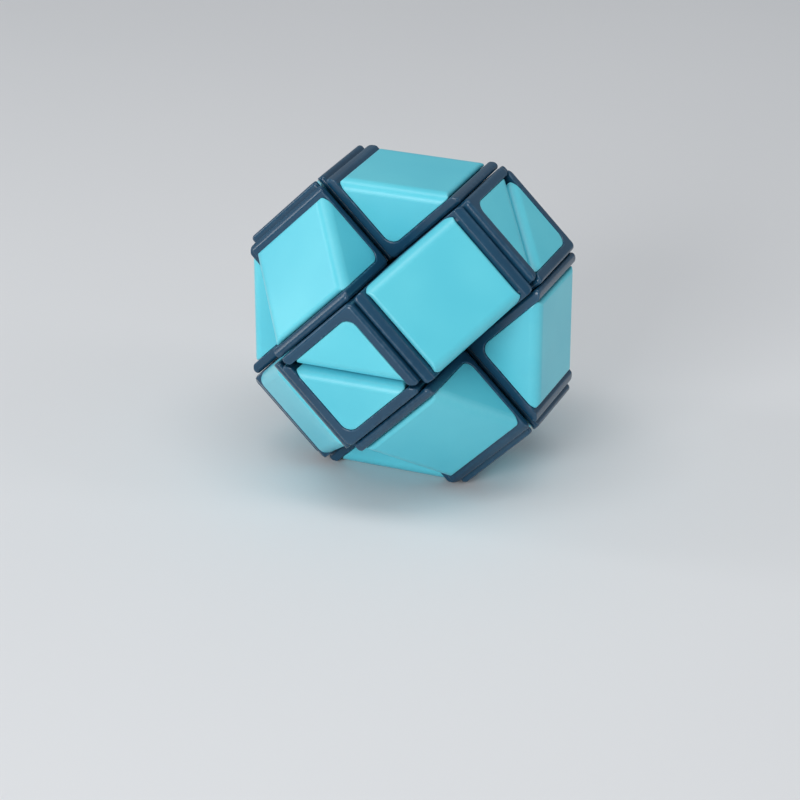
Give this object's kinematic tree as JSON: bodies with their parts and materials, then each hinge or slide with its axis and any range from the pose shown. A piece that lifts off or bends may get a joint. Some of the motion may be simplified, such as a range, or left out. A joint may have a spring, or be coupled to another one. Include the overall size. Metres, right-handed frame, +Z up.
{
  "type": "folding snake puzzle",
  "caption": "Twisty snake puzzle: a chain of right-angle wedges on sprung swivels, folded into its ball, that opens out to a straight stick.",
  "frame": {"origin": "centre of the ball's footprint, on the surface that it stands on", "axes": "+Z up; -Y out of the square front face; +X to the right seen from the front"},
  "size_m": [0.062, 0.0658, 0.0619],
  "materials": {
    "cap": "moulded, satin to semi-gloss",
    "base": "moulded, satin",
    "steel": "zinc plated"
  },
  "bodies": {
    "wedge_01": {"wedge_01_base": "base", "wedge_01_cap": "cap"},
    "wedge_02": {"wedge_02_base": "base", "wedge_02_cap": "cap", "wedge_02_swivels": "steel"},
    "wedge_03": {"wedge_03_base": "base", "wedge_03_cap": "cap"},
    "wedge_04": {"wedge_04_base": "base", "wedge_04_cap": "cap", "wedge_04_swivels": "steel"},
    "wedge_05": {"wedge_05_base": "base", "wedge_05_cap": "cap"},
    "wedge_06": {"wedge_06_base": "base", "wedge_06_cap": "cap", "wedge_06_swivels": "steel"},
    "wedge_07": {"wedge_07_base": "base", "wedge_07_cap": "cap"},
    "wedge_08": {"wedge_08_base": "base", "wedge_08_cap": "cap", "wedge_08_swivels": "steel"},
    "wedge_09": {"wedge_09_base": "base", "wedge_09_cap": "cap"},
    "wedge_10": {"wedge_10_base": "base", "wedge_10_cap": "cap", "wedge_10_swivels": "steel"},
    "wedge_11": {"wedge_11_base": "base", "wedge_11_cap": "cap"},
    "wedge_12": {"wedge_12_base": "base", "wedge_12_cap": "cap", "wedge_12_swivels": "steel"},
    "wedge_13": {"wedge_13_base": "base", "wedge_13_cap": "cap"},
    "wedge_14": {"wedge_14_base": "base", "wedge_14_cap": "cap", "wedge_14_swivels": "steel"},
    "wedge_15": {"wedge_15_base": "base", "wedge_15_cap": "cap"},
    "wedge_16": {"wedge_16_base": "base", "wedge_16_cap": "cap", "wedge_16_swivels": "steel"},
    "wedge_17": {"wedge_17_base": "base", "wedge_17_cap": "cap"},
    "wedge_18": {"wedge_18_base": "base", "wedge_18_cap": "cap", "wedge_18_swivels": "steel"},
    "wedge_19": {"wedge_19_base": "base", "wedge_19_cap": "cap"},
    "wedge_20": {"wedge_20_base": "base", "wedge_20_cap": "cap", "wedge_20_swivels": "steel"},
    "wedge_21": {"wedge_21_base": "base", "wedge_21_cap": "cap"},
    "wedge_22": {"wedge_22_base": "base", "wedge_22_cap": "cap", "wedge_22_swivels": "steel"},
    "wedge_23": {"wedge_23_base": "base", "wedge_23_cap": "cap"},
    "wedge_24": {"wedge_24_base": "base", "wedge_24_cap": "cap", "wedge_24_swivels": "steel"}
  },
  "joints": [
    {"name": "swivel_01", "type": "hinge", "parent": "wedge_02", "child": "wedge_01", "pos_m": [-0.00778, 0, 0.0543], "axis": [0.7071, 0, 0.7071], "range_deg": [0, 90]},
    {"name": "swivel_02", "type": "hinge", "parent": "wedge_03", "child": "wedge_02", "pos_m": [0.00778, 0, 0.0543], "axis": [0.7071, 0, -0.7071], "range_deg": [0, 90]},
    {"name": "swivel_03", "type": "hinge", "parent": "wedge_04", "child": "wedge_03", "pos_m": [0.01556, -0.011, 0.04652], "axis": [0, 1, 0], "range_deg": [0, 90]},
    {"name": "swivel_04", "type": "hinge", "parent": "wedge_05", "child": "wedge_04", "pos_m": [0.00778, -0.022, 0.03874], "axis": [-0.7071, 0, -0.7071], "range_deg": [0, 90]},
    {"name": "swivel_05", "type": "hinge", "parent": "wedge_06", "child": "wedge_05", "pos_m": [-0.00778, -0.022, 0.03874], "axis": [0.7071, 0, -0.7071], "range_deg": [0, 90]},
    {"name": "swivel_06", "type": "hinge", "parent": "wedge_07", "child": "wedge_06", "pos_m": [-0.01556, -0.011, 0.04652], "axis": [0, -1, 0], "range_deg": [0, 90]},
    {"name": "swivel_07", "type": "hinge", "parent": "wedge_08", "child": "wedge_07", "pos_m": [-0.02333, 0, 0.03874], "axis": [-0.7071, 0, -0.7071], "range_deg": [0, 90]},
    {"name": "swivel_08", "type": "hinge", "parent": "wedge_09", "child": "wedge_08", "pos_m": [-0.02333, 0, 0.02318], "axis": [-0.7071, 0, 0.7071], "range_deg": [0, 90]},
    {"name": "swivel_09", "type": "hinge", "parent": "wedge_10", "child": "wedge_09", "pos_m": [-0.01556, -0.011, 0.01541], "axis": [0, -1, 0], "range_deg": [0, 90]},
    {"name": "swivel_10", "type": "hinge", "parent": "wedge_11", "child": "wedge_10", "pos_m": [-0.00778, -0.022, 0.02318], "axis": [0.7071, 0, 0.7071], "range_deg": [0, 90]},
    {"name": "swivel_11", "type": "hinge", "parent": "wedge_12", "child": "wedge_11", "pos_m": [0.00778, -0.022, 0.02318], "axis": [-0.7071, 0, 0.7071], "range_deg": [0, 90]},
    {"name": "swivel_12", "type": "hinge", "parent": "wedge_13", "child": "wedge_12", "pos_m": [0.01556, -0.011, 0.01541], "axis": [0, 1, 0], "range_deg": [0, 90]},
    {"name": "swivel_13", "type": "hinge", "parent": "wedge_14", "child": "wedge_13", "pos_m": [0.00778, 0, 0.00763], "axis": [0.7071, 0, 0.7071], "range_deg": [0, 90]},
    {"name": "swivel_14", "type": "hinge", "parent": "wedge_14", "child": "wedge_15", "pos_m": [-0.00778, 0, 0.00763], "axis": [-0.7071, 0, 0.7071], "range_deg": [0, 90]},
    {"name": "swivel_15", "type": "hinge", "parent": "wedge_15", "child": "wedge_16", "pos_m": [-0.01556, 0.011, 0.01541], "axis": [0, -1, 0], "range_deg": [0, 90]},
    {"name": "swivel_16", "type": "hinge", "parent": "wedge_16", "child": "wedge_17", "pos_m": [-0.00778, 0.022, 0.02318], "axis": [0.7071, 0, 0.7071], "range_deg": [0, 90]},
    {"name": "swivel_17", "type": "hinge", "parent": "wedge_17", "child": "wedge_18", "pos_m": [0.00778, 0.022, 0.02318], "axis": [-0.7071, 0, 0.7071], "range_deg": [0, 90]},
    {"name": "swivel_18", "type": "hinge", "parent": "wedge_18", "child": "wedge_19", "pos_m": [0.01556, 0.011, 0.01541], "axis": [0, 1, 0], "range_deg": [0, 90]},
    {"name": "swivel_19", "type": "hinge", "parent": "wedge_19", "child": "wedge_20", "pos_m": [0.02333, 0, 0.02318], "axis": [0.7071, 0, 0.7071], "range_deg": [0, 90]},
    {"name": "swivel_20", "type": "hinge", "parent": "wedge_20", "child": "wedge_21", "pos_m": [0.02333, 0, 0.03874], "axis": [0.7071, 0, -0.7071], "range_deg": [0, 90]},
    {"name": "swivel_21", "type": "hinge", "parent": "wedge_21", "child": "wedge_22", "pos_m": [0.01556, 0.011, 0.04652], "axis": [0, 1, 0], "range_deg": [0, 90]},
    {"name": "swivel_22", "type": "hinge", "parent": "wedge_22", "child": "wedge_23", "pos_m": [0.00778, 0.022, 0.03874], "axis": [-0.7071, 0, -0.7071], "range_deg": [0, 90]},
    {"name": "swivel_23", "type": "hinge", "parent": "wedge_23", "child": "wedge_24", "pos_m": [-0.00778, 0.022, 0.03874], "axis": [0.7071, 0, -0.7071], "range_deg": [0, 90]}
  ],
  "couplings": [
    {"joint": "swivel_01", "follows": "swivel_13", "ratio": 1},
    {"joint": "swivel_02", "follows": "swivel_11", "ratio": 1},
    {"joint": "swivel_03", "follows": "swivel_15", "ratio": 1},
    {"joint": "swivel_04", "follows": "swivel_13", "ratio": 1},
    {"joint": "swivel_05", "follows": "swivel_08", "ratio": 1},
    {"joint": "swivel_06", "follows": "swivel_15", "ratio": 1},
    {"joint": "swivel_07", "follows": "swivel_10", "ratio": 1},
    {"joint": "swivel_09", "follows": "swivel_12", "ratio": 1},
    {"joint": "swivel_14", "follows": "swivel_11", "ratio": 1},
    {"joint": "swivel_16", "follows": "swivel_13", "ratio": 1},
    {"joint": "swivel_17", "follows": "swivel_08", "ratio": 1},
    {"joint": "swivel_18", "follows": "swivel_15", "ratio": 1},
    {"joint": "swivel_19", "follows": "swivel_10", "ratio": 1},
    {"joint": "swivel_20", "follows": "swivel_08", "ratio": 1},
    {"joint": "swivel_22", "follows": "swivel_10", "ratio": 1},
    {"joint": "swivel_23", "follows": "swivel_11", "ratio": 1}
  ]
}
